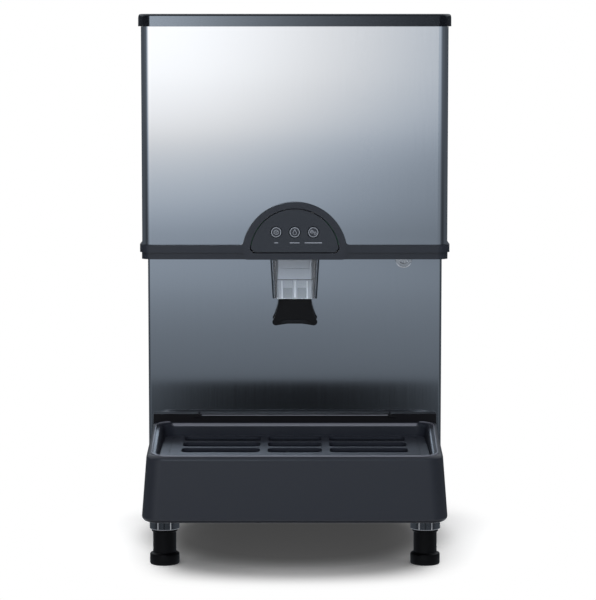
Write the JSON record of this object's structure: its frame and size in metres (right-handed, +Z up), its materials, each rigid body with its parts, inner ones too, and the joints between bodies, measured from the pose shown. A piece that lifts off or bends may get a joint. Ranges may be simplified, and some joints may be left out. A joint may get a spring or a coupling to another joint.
{
  "type": "countertop ice dispenser",
  "caption": "Countertop ice and water dispenser with a stainless upper housing, dome control panel, clear chute, push lever, drip tray and adjustable legs.",
  "frame": {"origin": "on the surface it stands on, under the middle of the whole machine", "axes": "+Z up, -Y to the front with the drip tray, +X to the user's right"},
  "size_m": [0.42, 0.6, 0.775],
  "materials": {
    "brushed_stainless": "brushed stainless steel",
    "gloss_black_cover": "gloss black moulded plastic",
    "black_moulding": "satin black moulded plastic",
    "tray_plastic": "satin dark slate plastic",
    "fascia_plastic": "satin dark grey plastic",
    "button_plastic": "printed dark grey plastic",
    "clear_plastic": "clear moulded plastic",
    "chute_plastic": "translucent white plastic",
    "lever_plastic": "black plastic",
    "bright_steel": "polished steel",
    "foot_rubber": "black rubber and plastic",
    "zinc_sheet": "zinc plated sheet steel",
    "fin_aluminium": "aluminium fins",
    "food_plastic": "white food-grade plastic",
    "machine_black": "black painted steel",
    "inner_plastic": "black plastic",
    "circuit_board": "green circuit board",
    "copper_line": "copper tube",
    "drain_rubber": "black rubber hose"
  },
  "bodies": {
    "machine": {"left_side_panel": "brushed_stainless", "right_side_panel": "brushed_stainless", "rear_panel": "brushed_stainless", "upper_front_panel": "brushed_stainless", "splash_panel": "brushed_stainless", "top_cover": "gloss_black_cover", "front_trim_band": "black_moulding", "overhang_floor": "black_moulding", "drip_tray": "tray_plastic", "control_fascia": "fascia_plastic", "chute_guard": "clear_plastic", "ice_chute": "chute_plastic", "water_nozzle": "chute_plastic", "lever_pivot_pin": "bright_steel", "key_lock_body": "bright_steel", "front_left_leg": "bright_steel", "front_right_leg": "bright_steel", "rear_left_leg": "bright_steel", "rear_right_leg": "bright_steel", "base_pan": "zinc_sheet", "support_deck": "zinc_sheet", "gate_solenoid": "zinc_sheet", "control_box": "zinc_sheet", "condenser_coil": "fin_aluminium", "gate_frame": "food_plastic", "ice_bin": "food_plastic", "bin_lid": "food_plastic", "evaporator_barrel": "food_plastic", "ice_transfer_channel": "food_plastic", "water_reservoir": "food_plastic", "water_inlet_valve": "food_plastic", "compressor": "machine_black", "auger_gearmotor": "machine_black", "agitator_gearmotor": "machine_black", "fan_motor": "machine_black", "micro_switch": "inner_plastic", "fan_shroud": "inner_plastic", "power_inlet": "inner_plastic", "control_board": "circuit_board", "discharge_line": "copper_line", "suction_line": "copper_line", "filter_drier": "copper_line", "drain_hose": "drain_rubber"},
    "lever": {"dispense_lever": "lever_plastic"},
    "switch_plunger": {"switch_plunger": "bright_steel"},
    "ice_button": {"ice_button": "button_plastic"},
    "water_button": {"water_button": "button_plastic"},
    "ice_water_button": {"ice_water_button": "button_plastic"},
    "lock_plug": {"key_lock_plug": "bright_steel"},
    "drip_grille": {"drip_grille": "tray_plastic"},
    "front_left_foot": {"front_left_foot": "foot_rubber"},
    "front_right_foot": {"front_right_foot": "foot_rubber"},
    "rear_left_foot": {"rear_left_foot": "foot_rubber"},
    "rear_right_foot": {"rear_right_foot": "foot_rubber"},
    "fan": {"fan_blades": "inner_plastic"},
    "auger": {"auger": "bright_steel"},
    "agitator": {"agitator": "bright_steel"},
    "ice_gate": {"ice_gate": "inner_plastic"},
    "float_arm": {"float_arm": "food_plastic"},
    "power_switch": {"power_switch": "inner_plastic"}
  },
  "joints": [
    {"name": "lever_swing", "type": "hinge", "parent": "machine", "child": "lever", "pos_m": [0, -0.11, 0.4381], "axis": [1, 0, 0], "range_deg": [0, 10], "stiffness_Nm_per_rad": 1.2, "springref_deg": -6.88},
    {"name": "switch_plunger_travel", "type": "slide", "parent": "machine", "child": "switch_plunger", "axis": [0, 1, 0], "range_m": [0, 0.0053]},
    {"name": "ice_button_travel", "type": "slide", "parent": "machine", "child": "ice_button", "axis": [0, 1, 0], "range_m": [0, 0.0008], "stiffness_N_per_m": 900},
    {"name": "water_button_travel", "type": "slide", "parent": "machine", "child": "water_button", "axis": [0, 1, 0], "range_m": [0, 0.0008], "stiffness_N_per_m": 900},
    {"name": "ice_water_button_travel", "type": "slide", "parent": "machine", "child": "ice_water_button", "axis": [0, 1, 0], "range_m": [0, 0.0008], "stiffness_N_per_m": 900},
    {"name": "lock_turn", "type": "hinge", "parent": "machine", "child": "lock_plug", "pos_m": [0.1528, -0.0998, 0.4335], "axis": [0, -1, 0], "range_deg": [-90, 0]},
    {"name": "grille_lift", "type": "slide", "parent": "machine", "child": "drip_grille", "axis": [0, 0, 1], "range_m": [0, 0.08]},
    {"name": "front_left_foot_screw", "type": "slide", "parent": "machine", "child": "front_left_foot", "axis": [0, 0, -1], "range_m": [0, 0.03]},
    {"name": "front_right_foot_screw", "type": "slide", "parent": "machine", "child": "front_right_foot", "axis": [0, 0, -1], "range_m": [0, 0.03]},
    {"name": "rear_left_foot_screw", "type": "slide", "parent": "machine", "child": "rear_left_foot", "axis": [0, 0, -1], "range_m": [0, 0.03]},
    {"name": "rear_right_foot_screw", "type": "slide", "parent": "machine", "child": "rear_right_foot", "axis": [0, 0, -1], "range_m": [0, 0.03]},
    {"name": "fan_spin", "type": "hinge", "parent": "machine", "child": "fan", "pos_m": [0.1324, 0.025, 0.2173], "axis": [1, 0, 0], "continuous": true},
    {"name": "auger_spin", "type": "hinge", "parent": "machine", "child": "auger", "pos_m": [0.06, 0.19, 0.3], "axis": [0, 0, 1], "continuous": true},
    {"name": "agitator_spin", "type": "hinge", "parent": "machine", "child": "agitator", "pos_m": [0, 0, 0.56], "axis": [0, 1, 0], "continuous": true},
    {"name": "gate_slide", "type": "slide", "parent": "machine", "child": "ice_gate", "axis": [0, 1, 0], "range_m": [0, 0.033], "stiffness_N_per_m": 60, "springref_m": -0.01},
    {"name": "float_lift", "type": "hinge", "parent": "machine", "child": "float_arm", "pos_m": [-0.1477, 0.2234, 0.5452], "axis": [1, 0, 0], "range_deg": [-35, 0]},
    {"name": "power_switch_rock", "type": "hinge", "parent": "machine", "child": "power_switch", "pos_m": [0.15, 0.2873, 0.183], "axis": [1, 0, 0], "range_deg": [-16, 0]}
  ],
  "couplings": [
    {"joint": "switch_plunger_travel", "follows": "lever_swing", "m_per_rad": 0.03}
  ]
}
